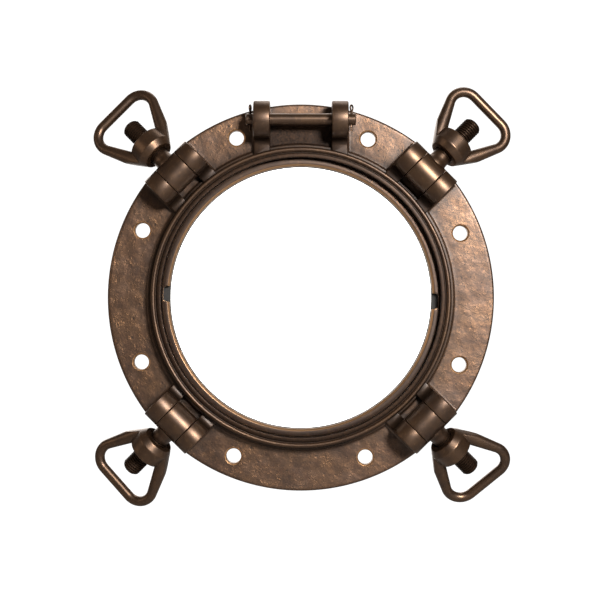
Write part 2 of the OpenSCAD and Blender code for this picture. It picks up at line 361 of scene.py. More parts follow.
class Graph:
    """A material's node tree, built by short calls."""

    def __init__(self, name: str) -> None:
        """Starts a material of that name with an empty Principled shader."""
        self.material = bpy.data.materials.new(name)
        self.material.use_nodes = True
        self.nodes = self.material.node_tree.nodes
        self.links = self.material.node_tree.links
        self.shader = self.nodes["Principled BSDF"]
        self.place = self.nodes.new("ShaderNodeTexCoord").outputs["Object"]

    def feed(self, socket: bpy.types.NodeSocket, value: object) -> None:
        """Links an output to the socket, or sets a plain value on it."""
        if isinstance(value, bpy.types.NodeSocket):
            self.links.new(value, socket)
        else:
            socket.default_value = value

    def stretch(self, scale: tuple[float, float, float]) -> bpy.types.NodeSocket:
        """Stretches the object's coordinates.

        Args:
            scale: Factor along each axis.

        Returns:
            The stretched coordinates.
        """
        node = self.nodes.new("ShaderNodeMapping")
        node.inputs["Scale"].default_value = scale
        self.links.new(self.place, node.inputs["Vector"])
        return node.outputs["Vector"]

    def noise(
        self, size: float, detail: float = 4, rough: float = 0.55, place: bpy.types.NodeSocket | None = None
    ) -> bpy.types.NodeSocket:
        """Cloudy noise.

        Args:
            size: Size of its largest blots in mm.
            detail: Number of finer layers.
            rough: Strength of the finer layers.
            place: Coordinates, or None for the object's own.

        Returns:
            Its factor output.
        """
        node = self.nodes.new("ShaderNodeTexNoise")
        node.inputs["Scale"].default_value = 1 / (size * MM)
        node.inputs["Detail"].default_value = detail
        node.inputs["Roughness"].default_value = rough
        self.links.new(place or self.place, node.inputs["Vector"])
        return node.outputs["Fac"]

    def cells(self, size: float, chance: float) -> bpy.types.NodeSocket:
        """Scattered round spots, 1 in their middle.

        Args:
            size: Distance between neighbouring spots in mm.
            chance: Share of the cells that hold one.

        Returns:
            The spots' factor.
        """
        node = self.nodes.new("ShaderNodeTexVoronoi")
        node.inputs["Scale"].default_value = 1 / (size * MM)
        self.links.new(self.place, node.inputs["Vector"])
        spot = self.ramp(node.outputs["Distance"], (0.06, 1.0), (0.26, 0.0))
        split = self.nodes.new("ShaderNodeSeparateColor")
        self.links.new(node.outputs["Color"], split.inputs[0])
        held = self.math("LESS_THAN", split.outputs[0], chance)
        return self.math("MULTIPLY", spot, held)

    def ramp(self, value: object, *stops: Point) -> bpy.types.NodeSocket:
        """A grey ramp.

        Args:
            value: What runs along the ramp.
            stops: Places on the ramp with their brightness.

        Returns:
            The ramp's grey.
        """
        node = self.nodes.new("ShaderNodeValToRGB")
        self.feed(node.inputs["Fac"], value)
        elements = node.color_ramp.elements
        while len(elements) < len(stops):
            elements.new(0.5)
        for element, (at, level) in zip(elements, stops):
            element.position = at
            element.color = (level, level, level, 1)
        return node.outputs["Color"]

    def math(self, operation: str, *values: object) -> bpy.types.NodeSocket:
        """A Math node.

        Args:
            operation: Its operation.
            values: Sockets or numbers, in order.

        Returns:
            Its result.
        """
        node = self.nodes.new("ShaderNodeMath")
        node.operation = operation
        for socket, value in zip(node.inputs, values):
            self.feed(socket, value)
        return node.outputs[0]

    def blend(self, factor: object, under: object, over: object) -> bpy.types.NodeSocket:
        """Mixes two colours.

        Args:
            factor: Share of the second one.
            under: First colour.
            over: Second colour.

        Returns:
            The mixed colour.
        """
        node = self.nodes.new("ShaderNodeMix")
        node.data_type = "RGBA"
        self.feed(node.inputs[0], factor)
        self.feed(node.inputs[6], under)
        self.feed(node.inputs[7], over)
        return node.outputs[2]

    def edges(self, radius: float) -> bpy.types.NodeSocket:
        """Finds the edges of the piece.

        Args:
            radius: How far the worn band of an edge reaches, in mm.

        Returns:
            1 on a sharp edge, 0 away from it.
        """
        soft = self.nodes.new("ShaderNodeBevel")
        soft.samples = 6
        soft.inputs["Radius"].default_value = radius * MM
        true = self.nodes.new("ShaderNodeNewGeometry")
        dot = self.nodes.new("ShaderNodeVectorMath")
        dot.operation = "DOT_PRODUCT"
        self.links.new(soft.outputs[0], dot.inputs[0])
        self.links.new(true.outputs["Normal"], dot.inputs[1])
        return self.ramp(self.math("SUBTRACT", 1.0, dot.outputs["Value"]), (0.03, 0.0), (0.16, 1.0))

    def hollows(self, reach: float) -> bpy.types.NodeSocket:
        """Finds the hollows of the piece.

        Args:
            reach: How far it looks, in mm.

        Returns:
            How open a place is, 0 deep in a hollow.
        """
        node = self.nodes.new("ShaderNodeAmbientOcclusion")
        node.samples = 8
        node.only_local = True
        node.inputs["Distance"].default_value = reach * MM
        return node.outputs["AO"]

    def bump(
        self, height: object, depth: float, under: bpy.types.NodeSocket | None = None
    ) -> bpy.types.NodeSocket:
        """A bump by a height socket.

        Args:
            height: The height, 0 to 1.
            depth: Depth of the bump in mm.
            under: Another normal that it lies on, or None.

        Returns:
            The bumped normal.
        """
        node = self.nodes.new("ShaderNodeBump")
        node.inputs["Strength"].default_value = 1.0
        node.inputs["Distance"].default_value = depth * MM
        self.feed(node.inputs["Height"], height)
        if under is not None:
            self.links.new(under, node.inputs["Normal"])
        return node.outputs["Normal"]

    def attribute(self, name: str) -> bpy.types.NodeSocket:
        """The piece's own painted attribute."""
        node = self.nodes.new("ShaderNodeAttribute")
        node.attribute_name = name
        return node.outputs["Fac"]

    def set(self, **values: object) -> None:
        """Feeds sockets of the shader, their names written with underscores."""
        for key, value in values.items():
            self.feed(self.shader.inputs[key.replace("_", " ")], value)


Colour = tuple[float, float, float, float]


def rgb(r: int, g: int, b: int) -> Colour:
    """A screen colour as the linear colour that a shader takes."""
    return tuple(((c / 255 + 0.055) / 1.055) ** 2.4 if c > 10 else c / 3295 for c in (r, g, b)) + (1.0,)


@dataclass(frozen=True)
class Bronze:
    """Brown patinated bronze: mottled, dark in hollows by painted shade with deposits, worn bright along edges, under
    a film of wax.

    Attributes:
        name: Name of the material.
        deep: Patina colour in the dark blots.
        light: Patina colour in the light blots.
        rubbed_and_highlight: Colour where the patina is worn off, also used for painted highlights.
        grime_and_shade_colour: Colour of painted shade and deposits in hollows, also of pits and stains.
        gloss: Roughness of the smoothest places.
        spread: How much rougher the dull places are.
        grain: Depth of the fine grain in mm.
        pits: Depth of casting pits in mm, on places that weren't dressed after casting.
        wear: Strength of the worn edges.
        worn: Reach of the worn edges in mm.
        reach: How far the painted shade and deposits of hollows look, in mm.
        turns: Distance in mm between tool marks round the window's axis, or 0.
        bare: Patina colours of the raw cast face, in dark and in light blots.
        dressed: Painted attribute that is 1 where a casting was dressed smooth, or an empty name.
        oil_and_shade: Painted attribute, or an empty name; 1 where the metal is blackened by grease, and on the
            casting also by painted shade.
        oil_and_shade_cover: How far that blackening, grease and painted shade, covers the metal there.
        bright: Painted attribute, or an empty name; 1 where an edge is painted bright, as wear and as a painted
            highlight.
    """

    name: str
    deep: Colour = rgb(66, 43, 24)
    light: Colour = rgb(94, 65, 36)
    rubbed_and_highlight: Colour = rgb(196, 150, 104)
    grime_and_shade_colour: Colour = rgb(20, 15, 12)
    gloss: float = 0.34
    spread: float = 0.12
    grain: float = 0.02
    pits: float = 0.0
    wear: float = 0.45
    worn: float = 0.8
    reach: float = 14.0
    turns: float = 0.0
    bare: tuple[Colour, Colour] = (rgb(74, 49, 31), rgb(108, 77, 50))
    dressed: str = ""
    oil_and_shade: str = ""
    oil_and_shade_cover: float = 0.94
    bright: str = ""

    def tint(self, g: Graph, mottle: bpy.types.NodeSocket, grime_and_shade: bpy.types.NodeSocket) -> bpy.types.NodeSocket:
        """The patina's colour.

        Args:
            g: The material's graph.
            mottle: Light and dark blots.
            grime_and_shade: Painted shade and deposits in hollows.

        Returns:
            The colour.
        """
        colour = g.blend(mottle, self.deep, self.light)
        if self.dressed:
            colour = g.blend(g.attribute(self.dressed), g.blend(mottle, *self.bare), colour)
        scuffs = g.ramp(g.noise(3.2, 8, 0.7, g.stretch((1.0, 1.0, 0.45))), (0.56, 0.0), (0.76, 1.0))
        colour = g.blend(g.math("MULTIPLY", scuffs, 0.22), colour, self.rubbed_and_highlight)
        worn = g.math("MULTIPLY", g.edges(self.worn), g.ramp(g.noise(9, 5, 0.6), (0.3, 0.3), (0.62, 1.0)))
        colour = g.blend(g.math("MULTIPLY", worn, self.wear), colour, self.rubbed_and_highlight)
        # Painted shade: the hollows that ambient occlusion finds are darkened, together with deposits.
        return g.blend(g.math("MULTIPLY", grime_and_shade, 0.9), colour, self.grime_and_shade_colour)

    def make(self) -> bpy.types.Material:
        """Builds the material."""
        g = Graph(self.name)
        clouds = g.noise(42, 5, 0.6)
        blots = g.noise(9, 6, 0.62)
        both = g.math("ADD", g.math("MULTIPLY", clouds, 0.55), g.math("MULTIPLY", blots, 0.45))
        mottle = g.ramp(both, (0.38, 0.0), (0.64, 1.0))
        # Painted shade with deposits: ambient occlusion darkens hollows, lug feet and the gaps between parts.
        grime_and_shade = g.ramp(g.hollows(self.reach), (0.36, 1.0), (0.95, 0.0))
        colour = self.tint(g, mottle, grime_and_shade)
        rough = g.math("MULTIPLY_ADD", mottle, -0.3 * self.spread, self.gloss)
        rough = g.math("ADD", rough, g.math("MULTIPLY", g.noise(5, 5, 0.65), self.spread))
        rough = g.math("ADD", rough, g.math("MULTIPLY", grime_and_shade, 0.15))
        coat: object = 0.65
        normal = g.bump(g.noise(1.4, 4, 0.6), self.grain)
        normal = g.bump(g.noise(7, 4, 0.5), self.grain * 3, normal)
        if self.pits:
            raw = g.math("SUBTRACT", 1.0, g.attribute(self.dressed))
            large = g.math("MULTIPLY", g.cells(8.5, 0.3), g.ramp(clouds, (0.42, 0.0), (0.58, 1.0)))
            pitted = g.math("MULTIPLY", g.math("MAXIMUM", large, g.cells(3.3, 0.12)), raw)
            colour = g.blend(g.math("MULTIPLY", pitted, 0.6), colour, self.grime_and_shade_colour)
            stains = g.ramp(g.noise(26, 7, 0.68), (0.52, 0.0), (0.68, 1.0))
            colour = g.blend(g.math("MULTIPLY", g.math("MULTIPLY", stains, raw), 0.34), colour, self.grime_and_shade_colour)
            bloom = g.ramp(g.noise(20, 6, 0.6, g.stretch((1.0, 1.0, 1.3))), (0.5, 0.0), (0.7, 1.0))
            colour = g.blend(g.math("MULTIPLY", g.math("MULTIPLY", bloom, raw), 0.2), colour, rgb(142, 114, 96))
            fine = g.math("MULTIPLY", g.ramp(g.noise(2.2, 6, 0.7), (0.5, 0.0), (0.66, 1.0)), raw)
            colour = g.blend(g.math("MULTIPLY", fine, 0.26), colour, self.grime_and_shade_colour)
            rough = g.math("ADD", rough, g.math("MULTIPLY", fine, 0.12))
            normal = g.bump(g.math("SUBTRACT", 1.0, fine), self.pits * 0.12, normal)
            rough = g.math("ADD", rough, g.math("MULTIPLY", raw, 0.02))
            normal = g.bump(g.math("SUBTRACT", 1.0, pitted), self.pits, normal)
            dents = g.math("MULTIPLY", g.noise(11, 4, 0.5), raw)
            normal = g.bump(dents, self.pits * 3, normal)
            lumps = g.math("MULTIPLY", g.ramp(g.noise(2.6, 3, 0.5), (0.5, 0.0), (0.7, 1.0)), raw)
            normal = g.bump(g.math("MULTIPLY", lumps, g.ramp(blots, (0.45, 0.0), (0.6, 1.0))), self.pits * 0.7, normal)
        if self.turns:
            split = g.nodes.new("ShaderNodeSeparateXYZ")
            g.links.new(g.place, split.inputs[0])
            square = g.math("ADD", g.math("POWER", split.outputs["X"], 2.0), g.math("POWER", split.outputs["Z"], 2.0))
            phase = g.math("MULTIPLY", g.math("SQRT", square), math.tau / (self.turns * MM))
            marks = g.math("SINE", g.math("ADD", phase, g.noise(30, 2)))
            normal = g.bump(marks, 0.008, normal)
        # Blackening from a painted attribute: grease on the bolt's thread, and on the casting painted shade with
        # grease, including a painted shadow under the hinge pin.
        if self.oil_and_shade:
            oil_and_shade_mask = g.attribute(self.oil_and_shade)
            black = g.blend(g.ramp(g.noise(2.5, 5, 0.6), (0.4, 0.0), (0.7, 1.0)), rgb(28, 18, 12), rgb(56, 38, 25))
            colour = g.blend(g.math("MULTIPLY", oil_and_shade_mask, self.oil_and_shade_cover), colour, black)
            rough = g.math("ADD", rough, g.math("MULTIPLY", oil_and_shade_mask, 0.12))
            coat = g.math("MULTIPLY_ADD", oil_and_shade_mask, -0.55, 0.65)
        # Painted highlight with wear: hole mouths and the ring's inner bevel take the bright worn colour.
        if self.bright:
            colour = g.blend(g.math("MULTIPLY", g.attribute(self.bright), 0.7), colour, self.rubbed_and_highlight)
        g.set(Base_Color=colour, Roughness=rough, Metallic=0.88, Normal=normal, Coat_Weight=coat,
              Coat_Roughness=0.4, Coat_IOR=1.6)
        return g.material


CAST = Bronze("cast_bronze", gloss=0.32, spread=0.2, pits=0.3, wear=0.85, worn=1.4, reach=20, dressed="dressed",
              oil_and_shade="soiled_and_shaded", bright="bright")
TURNED = Bronze("turned_bronze", deep=rgb(52, 33, 19), light=rgb(80, 54, 32), gloss=0.3, wear=0.8, worn=1.1,
                reach=8, turns=0.45, bright="bright")
HANDLE = Bronze("handle_bronze", grain=0.008, gloss=0.31)
BOLT = Bronze("bolt_bronze", grain=0.01, gloss=0.32, reach=9, oil_and_shade="thread", oil_and_shade_cover=0.82)
DRAWN = Bronze("drawn_bronze", grain=0.006, gloss=0.3, wear=0.5)


@dataclass(frozen=True)
class Rubber:
    """Black gasket rubber, dull and a little chalky."""

    name: str = "black_rubber"

    def make(self) -> bpy.types.Material:
        """Builds the material."""
        g = Graph(self.name)
        chalk = g.ramp(g.noise(3, 6, 0.65), (0.45, 0.0), (0.75, 1.0))
        colour = g.blend(chalk, rgb(24, 23, 22), rgb(58, 54, 50))
        g.set(Base_Color=colour, Roughness=g.math("MULTIPLY_ADD", chalk, 0.2, 0.6),
              Normal=g.bump(g.noise(0.7, 4, 0.6), 0.05))
        return g.material


@dataclass(frozen=True)
class WindowGlass:
    """Clear plate glass with faint smudges."""

    name: str = "window_glass"

    def make(self) -> bpy.types.Material:
        """Builds the material."""
        g = Graph(self.name)
        smudge = g.ramp(g.noise(38, 6, 0.62, g.stretch((1.0, 1.0, 0.55))), (0.6, 0.0), (0.86, 1.0))
        colour = g.blend(smudge, (0.98, 0.99, 0.985, 1.0), (0.93, 0.94, 0.935, 1.0))
        g.set(Base_Color=colour, Roughness=g.math("MULTIPLY", smudge, 0.05), Transmission_Weight=1.0)
        g.shader.inputs["IOR"].default_value = 1.5
        return g.material


@dataclass
class FrameCasting:
    """Flange, rim, neck, dog lugs and hinge lugs in one casting. Sizes in mm; heights count from the wall."""

    bore_r: float = 160.2
    seat_r: float = 151.2
    seat_low: float = -11.5
    seat_top: float = -7.0
    neck_r: float = 169.2
    neck_len: float = 35.0
    flange_r: float = 222.5
    flange_t: float = 12.0
    flange_edge: float = 2.8
    rim_r: float = 172.0
    rim_top: float = 30.0
    bead_r: float = 3.0
    band_drop: float = 2.0
    groove_r: float = 1.3
    step_r: float = 175.4
    foot_r: float = 3.0
    step_h: float = 1.6
    # Painted shade with grease on the casting: a painted shadow under the hinge pin, more towards the top, and on the
    # rim's step, bead and groove.
    shade_and_grease_r: float = 200.0
    pin_shadow_reach: float = 16.0
    least_shade_and_grease: float = 0.25
    most_shade_and_grease: float = 0.75
    step_shade_and_grease: float = 0.6
    bead_shade_and_grease: float = 0.35
    groove_shade_and_grease: float = 0.92
    hole_circle_r: float = 198.0
    hole_r: float = 8.5
    hole_soft: float = 2.6
    hole_turn: float = -0.5
    eye_half: float = 14.7
    dog_lug_w: float = 18.0
    dog_head_r: float = 19.0
    dog_bore_r: float = 7.05
    hinge_half: float = 35.0
    hinge_lug_w: float = 19.0
    hinge_head_r: float = 21.0
    hinge_bore_r: float = 6.8
    lug_foot: float = 20.5
    lug_hollow: float = 9.0
    root: float = 167.0
    skirt: float = 3.0
    steps: int = 360

    def profile(self, flange_r: float) -> list[Point]:
        """Half section of the turned body.

        Args:
            flange_r: Radius of the flange in mm.

        Returns:
            Closed outline as (radius, height) in mm.
        """
        slope = self.bore_r - self.seat_r
        bead_x = self.rim_r - self.bead_r
        bead_z = self.rim_top - self.bead_r
        band_z = self.rim_top - self.band_drop
        groove_x = bead_x - self.bead_r - 0.3
        step_z = self.flange_t + self.foot_r + self.step_h
        edge = self.flange_edge
        points: list[Point] = [(self.seat_r, self.seat_top), (self.seat_r, self.seat_low)]
        points += [(self.bore_r, self.seat_low - slope), (self.bore_r, 0.8 - self.neck_len)]
        points += [(self.bore_r + 0.8, -self.neck_len), (self.neck_r - 0.8, -self.neck_len)]
        points += line((self.neck_r, 0.8 - self.neck_len), (self.neck_r, -1.5), 6)
        points += arc(self.neck_r + 1.5, -1.5, 1.5, 180, 90, 4)
        points += line((self.neck_r + 4, 0), (flange_r - 1, 0), 8)
        points += arc(flange_r - 1, 1, 1, 270, 360, 4)
        points += line((flange_r, 2.5), (flange_r, self.flange_t - edge), 3)
        points += arc(flange_r - edge, self.flange_t - edge, edge, 0, 90, 6)
        foot_x = self.step_r + self.foot_r
        points += line((flange_r - edge - 1.5, self.flange_t), (foot_x, self.flange_t), 14)
        points += arc(foot_x, self.flange_t + self.foot_r, self.foot_r, 270, 180, 6)
        points += arc(self.step_r - 0.7, step_z - 0.7, 0.7, 0, 90, 3)
        points += arc(self.rim_r + 0.7, step_z + 0.7, 0.7, 270, 180, 3)
        points += line((self.rim_r, step_z + 2.5), (self.rim_r, bead_z), 3)
        points += arc(bead_x, bead_z, self.bead_r, 0, 155, 12)
        points += arc(groove_x, band_z + 0.2, self.groove_r, -10, -160, 8)
        points += [(groove_x - self.groove_r - 0.5, band_z), (self.bore_r + 1.6, band_z)]
        points += arc(self.bore_r + 0.6, band_z - 0.6, 0.6, 90, 180, 3)
        points += line((self.bore_r, band_z - 2.5), (self.bore_r, self.seat_top), 5)
        points.append((self.bore_r, self.seat_top))
        return points

    def lug(self, pivot_r: float, pivot_z: float, head_r: float, start: float, width: float,
            soft: float, root: float) -> bpy.types.Object:
        """One lug along +X, its inner face at Y = start.

        Args:
            pivot_r: Distance of its bore from the window's axis.
            pivot_z: Height of its bore.
            head_r: Radius of its round head.
            start: Where its inner face lies.
            width: Its width.
            soft: Radius of its softened edges.
            root: Where its foot ends inside the rim.

        Returns:
            The lug with the hollow skirt on its outer side, in a frame with X outwards and Z to the room.
        """
        back = pivot_r - head_r + 0.4
        sunk = self.flange_t - 3
        outline = arc(pivot_r, pivot_z, head_r, 0, 180, 22)
        outline += arc(back - self.lug_hollow, self.lug_foot + self.lug_hollow, self.lug_hollow, -8, -82, 8)
        outline += [(root, self.lug_foot), (root, sunk), (pivot_r + head_r - 0.3, sunk)]
        corners = [Vector((u, start, z)) * MM for u, z in outline]
        piece = Bench.prism("lug", corners, Vector((0, width * MM, 0)))
        Bench.bevel(piece, soft, 3, 60)
        far = start + width
        hollow = [(far - 1.0, self.flange_t - 1.0), (far + self.skirt, self.flange_t - 1.0)]
        hollow += [(far + self.skirt, self.flange_t + 0.02)]
        hollow += arc(far + self.skirt, self.flange_t + self.skirt + 0.02, self.skirt, 262, 186, 6)
        hollow += [(far - 1.0, self.flange_t + self.skirt + 0.3)]
        flange_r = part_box("frame_casting")[1].x / MM
        end = min(pivot_r + head_r - 1.2, math.sqrt((flange_r - 2.4) ** 2 - (far + self.skirt) ** 2) - 0.6)
        corners = [Vector((root + 5, v, z)) * MM for v, z in hollow]
        skirt = Bench.prism("skirt", corners, Vector(((end - root - 5) * MM, 0, 0)))
        Bench.combine(piece, skirt, "UNION")
        return piece

    def lugs(self) -> Iterable[bpy.types.Object]:
        """Makes the eight dog lugs and the two hinge lugs in place, one after another."""
        front = Matrix.Rotation(math.radians(90), 4, "X")
        mirror = Matrix.Scale(-1, 4, Vector((0, 1, 0)))
        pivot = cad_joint("dog_swing_upper_right")["pos_m"]
        dog_r = math.hypot(pivot[0], pivot[2]) / MM
        pattern = self.lug(dog_r, -pivot[1] / MM, self.dog_head_r, self.eye_half, self.dog_lug_w, 1.1, self.root)
        for angle in (45, 135, 225, 315):
            for side in (Matrix.Identity(4), mirror):
                turn = Matrix.Rotation(math.radians(angle), 4, "Z")
                yield self.settled(pattern, front @ turn @ side)
        Bench.discard(pattern)
        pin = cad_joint("hinge_pin_turn")["pos_m"]
        root = math.sqrt(self.root**2 - (self.hinge_half + self.hinge_lug_w) ** 2)
        pattern = self.lug(pin[2] / MM, -pin[1] / MM, self.hinge_head_r, self.hinge_half, self.hinge_lug_w, 1.6, root)
        for side in (Matrix.Identity(4), mirror):
            turn = Matrix.Rotation(math.radians(90), 4, "Z")
            yield self.settled(pattern, front @ turn @ side)
        Bench.discard(pattern)

    @staticmethod
    def settled(pattern: bpy.types.Object, where: Matrix) -> bpy.types.Object:
        """A copy of a pattern in place, its faces outwards."""
        twin = Bench.copy(pattern, "lug_copy", where)
        Bench.tidy(twin)
        return twin

    def hole_places(self) -> list[Vector]:
        """The centres of the eight mounting holes."""
        angles = [math.radians(45 * (k + 0.5) + self.hole_turn) for k in range(8)]
        return [Vector((math.cos(a), 0, math.sin(a))) * self.hole_circle_r * MM for a in angles]

    def drill(self, piece: bpy.types.Object) -> None:
        """Cuts the mounting holes and the pins' bores, and closes any small gap that a cut leaves.

        Args:
            piece: The casting.
        """
        soft = self.hole_soft
        top = self.flange_t
        profile = [(0.0, -3.0), (self.hole_r, -3.0), (self.hole_r, top - soft)]
        profile += [(self.hole_r + soft - p, z) for p, z in arc(0, top - soft, soft, 20, 75, 3)]
        profile += [(self.hole_r + soft + 0.4, top + 1.0), (0.0, top + 1.0)]
        cutter = Bench.lathe("hole", Axis.WINDOW, profile, 48, closed=False)
        for place in self.hole_places():
            Bench.combine(piece, Bench.copy(cutter, "hole_copy", Matrix.Translation(place)), "DIFFERENCE")
        Bench.discard(cutter)
        for corner in Corner:
            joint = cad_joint("dog_swing_" + corner.value)
            self.bore(piece, joint, self.dog_bore_r, self.eye_half + self.dog_lug_w + 4)
        self.bore(piece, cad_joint("hinge_pin_turn"), self.hinge_bore_r, self.hinge_half + self.hinge_lug_w + 4)
        Bench.edit(piece, "VERT")
        bpy.ops.mesh.fill_holes(sides=4)
        Bench.done()

    @staticmethod
    def bore(piece: bpy.types.Object, joint: dict, radius: float, half: float) -> None:
        """Cuts a straight bore along a joint's axis.

        Args:
            piece: The piece to cut.
            joint: The record's joint.
            radius: Radius in mm.
            half: Half of its length in mm.
        """
        Bench.clear()
        bpy.ops.mesh.primitive_cylinder_add(vertices=48, radius=radius * MM, depth=2 * half * MM)
        tool = bpy.context.active_object
        turn = Vector(joint["axis"]).to_track_quat("Z", "Y").to_matrix().to_4x4()
        tool.matrix_world = Matrix.Translation(joint["pos_m"]) @ turn
        bpy.ops.object.transform_apply(location=True, rotation=True, scale=True)
        Bench.combine(piece, tool, "DIFFERENCE")

    def uneven(self, piece: bpy.types.Object) -> None:
        """Gives the flange's front the slight waves of a sand casting.

        Args:
            piece: The casting.
        """
        group = piece.vertex_groups.new(name="front")
        low, high = (self.flange_t - 0.3) * MM, (self.flange_t + 0.3) * MM
        for vertex in piece.data.vertices:
            r = math.hypot(vertex.co.x, vertex.co.z) / MM
            if low < -vertex.co.y < high and r > self.step_r + self.foot_r - 1:
                group.add([vertex.index], 1.0, "REPLACE")
        waves = bpy.data.textures.new("casting_waves", "CLOUDS")
        waves.noise_scale = 13 * MM
        waves.noise_depth = 2
        Bench.apply(piece, "DISPLACE", texture=waves, texture_coords="LOCAL", strength=0.5 * MM, mid_level=0.5,
                    vertex_group="front", direction="Y")
        piece.vertex_groups.clear()

    def paint(self, piece: bpy.types.Object) -> None:
        """Marks the places dressed after casting (rim, lugs, bore), those darkened by painted shade with grease, and
        the hole mouths painted bright as wear and painted highlight.

        Args:
            piece: The casting.
        """
        places = self.hole_places()
        painted = piece.data.attributes.new(CAST.dressed, "FLOAT", "POINT")
        soiled_and_shaded = piece.data.attributes.new(CAST.oil_and_shade, "FLOAT", "POINT")
        bright = piece.data.attributes.new(CAST.bright, "FLOAT", "POINT")
        mouth, low = (self.hole_r + 0.75 * self.hole_soft) * MM, self.flange_t - self.hole_soft - 0.1
        for vertex in piece.data.vertices:
            r, height = math.hypot(vertex.co.x, vertex.co.z) / MM, -vertex.co.y / MM
            dressed = height > self.flange_t + 1.5 or r < self.step_r + 0.5
            painted.data[vertex.index].value = 1.0 if dressed else 0.0
            # Flange: a painted shadow under the hinge pin, and painted shade with grease that grows towards the top
            # and fades outwards.
            if r > self.step_r + 0.5:
                under_pin = vertex.co.z > 0 and abs(vertex.co.x) < self.hinge_half * MM
                reach = self.shade_and_grease_r + (self.pin_shadow_reach if under_pin else 0.0)
                most = 1.0 if under_pin else self.most_shade_and_grease * max(self.least_shade_and_grease, vertex.co.z / MM / r)
                grime_and_shade = most * min(1.0, max(0.0, (reach - r) / (self.shade_and_grease_r - self.step_r)))
            # Rim: painted shade on the step and in the groove, less on the bead.
            elif r > self.rim_r:
                grime_and_shade = self.step_shade_and_grease
            else:
                grime_and_shade = self.bead_shade_and_grease if height > self.rim_top - 1.2 else self.groove_shade_and_grease
            soiled_and_shaded.data[vertex.index].value = grime_and_shade
            # Hole mouths painted bright: wear and a painted highlight.
            flat = Vector((vertex.co.x, 0, vertex.co.z))
            rubbed_and_highlight = low < height < self.flange_t and any((flat - place).length < mouth for place in places)
            bright.data[vertex.index].value = 1.0 if rubbed_and_highlight else 0.0

    def build(self) -> None:
        """Builds the casting, dresses it and hands it over."""
        piece = Bench.lathe("frame_casting_body", Axis.WINDOW, self.profile(self.flange_r), self.steps)
        for lug in self.lugs():
            Bench.combine(piece, lug, "UNION")
        self.drill(piece)
        self.uneven(piece)
        self.paint(piece)
        Bench.smooth(piece, 34)
        hand_over(piece, CAST.make(), "window", "cast_bronze", ["frame_casting"])


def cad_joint(name: str) -> dict:
    """The record's joint of that name."""
    return next(joint for joint in frame["joints"] if joint["name"] == name)


@dataclass
class Glazing:
    """Glass pane, its two gaskets and the screwed retaining ring. Sizes in mm; heights count from the wall."""

    light_r: float = 150.0
    glass_r: float = 159.0
    glass_low: float = -5.0
    glass_top: float = 7.0
    gasket_t: float = 2.0
    ring_in: float = 150.8
    ring_out: float = 158.8
    ring_foot: float = 160.1
    ring_low: float = 9.0
    ring_top: float = 17.0
    ring_bevel: float = 2.6
    notch_w: float = 18.0
    notch_deep: float = 7.0
    turned: float = -1.6
    steps: int = 240

    def gasket(self, name: str, low: float) -> bpy.types.Object:
        """A flat rubber ring whose inner edge bulges a little.

        Args:
            name: Name of the piece.
            low: Height of its lower face.

        Returns:
            The gasket.
        """
        top = low + self.gasket_t
        profile = arc(self.light_r + 0.55, low + 0.6, 0.6, 250, 180, 3)
        profile += arc(self.light_r + 0.55, top - 0.6, 0.6, 180, 110, 3)
        profile += [(self.light_r + 0.9, top), (self.glass_r, top), (self.glass_r, low), (self.light_r + 0.9, low)]
        return Bench.lathe(name, Axis.WINDOW, profile, self.steps)

    def pane(self) -> bpy.types.Object:
        """The round pane with ground edges."""
        low, top, r = self.glass_low, self.glass_top, self.glass_r
        profile = [(0.0, low), (r * 0.5, low), (r - 1, low), (r - 0.3, low + 0.3), (r, low + 1)]
        profile += [(r, top - 1), (r - 0.3, top - 0.3), (r - 1, top), (r * 0.5, top), (0.0, top)]
        return Bench.lathe("glass_pane_plate", Axis.WINDOW, profile, self.steps, closed=False)

    def ring(self) -> bpy.types.Object:
        """The retaining ring with its two spanner notches."""
        foot_top = self.ring_low + 4.8
        bevel = self.ring_bevel
        profile = [(self.ring_in, self.ring_low), (self.ring_foot, self.ring_low), (self.ring_foot, foot_top)]
        profile += [(self.ring_out, foot_top), (self.ring_out, self.ring_top), (self.ring_in + bevel, self.ring_top)]
        profile += [(self.ring_in, self.ring_top - bevel * 0.7)]
        piece = Bench.lathe("retaining_ring_turned", Axis.WINDOW, profile, self.steps)
        half = self.notch_w / 2
        outline = [(self.ring_in - 2, -half), (self.ring_in + self.notch_deep - 4, -half)]
        outline += arc(self.ring_in + self.notch_deep - 4, -half + 4, 4, -90, 0, 5)[1:]
        outline += arc(self.ring_in + self.notch_deep - 4, half - 4, 4, 0, 90, 5)
        outline += [(self.ring_in - 2, half)]
        for side in (0, 180):
            corners = [Vector((u, -(self.ring_low - 1), v)) * MM for u, v in outline]
            tool = Bench.prism("notch", corners, Vector((0, -12 * MM, 0)))
            turn = Matrix.Rotation(-math.radians(side + self.turned), 4, "Y")
            tool.matrix_world = turn
            Bench.take(tool)
            bpy.ops.object.transform_apply(location=True, rotation=True, scale=True)
            Bench.combine(piece, tool, "DIFFERENCE")
        Bench.bevel(piece, 0.35, 2, 30)
        # The ring's inner bevel painted bright: wear and a painted highlight.
        bright = piece.data.attributes.new(TURNED.bright, "FLOAT", "POINT")
        for vertex in piece.data.vertices:
            r, height = math.hypot(vertex.co.x, vertex.co.z) / MM, -vertex.co.y / MM
            rubbed_and_highlight = r < self.ring_in + bevel and height > self.ring_top - bevel
            bright.data[vertex.index].value = 1.0 if rubbed_and_highlight else 0.0
        return piece

    def build(self) -> None:
        """Builds the pieces, dresses them and hands them over."""
        rubber = Rubber().make()
        front = self.gasket("front_gasket_ring", self.glass_top)
        rear = self.gasket("rear_gasket_ring", self.glass_low - self.gasket_t)
        for piece, node in ((front, "front_gasket"), (rear, "rear_gasket")):
            Bench.smooth(piece, 40)
            hand_over(piece, rubber, "window", "black_rubber", [node])
        pane = self.pane()
        Bench.smooth(pane, 25)
        hand_over(pane, WindowGlass().make(), "window", "window_glass", ["glass_pane"])
        ring = self.ring()
        Bench.smooth(ring, 34)
        hand_over(ring, TURNED.make(), "window", "turned_bronze", ["retaining_ring"])


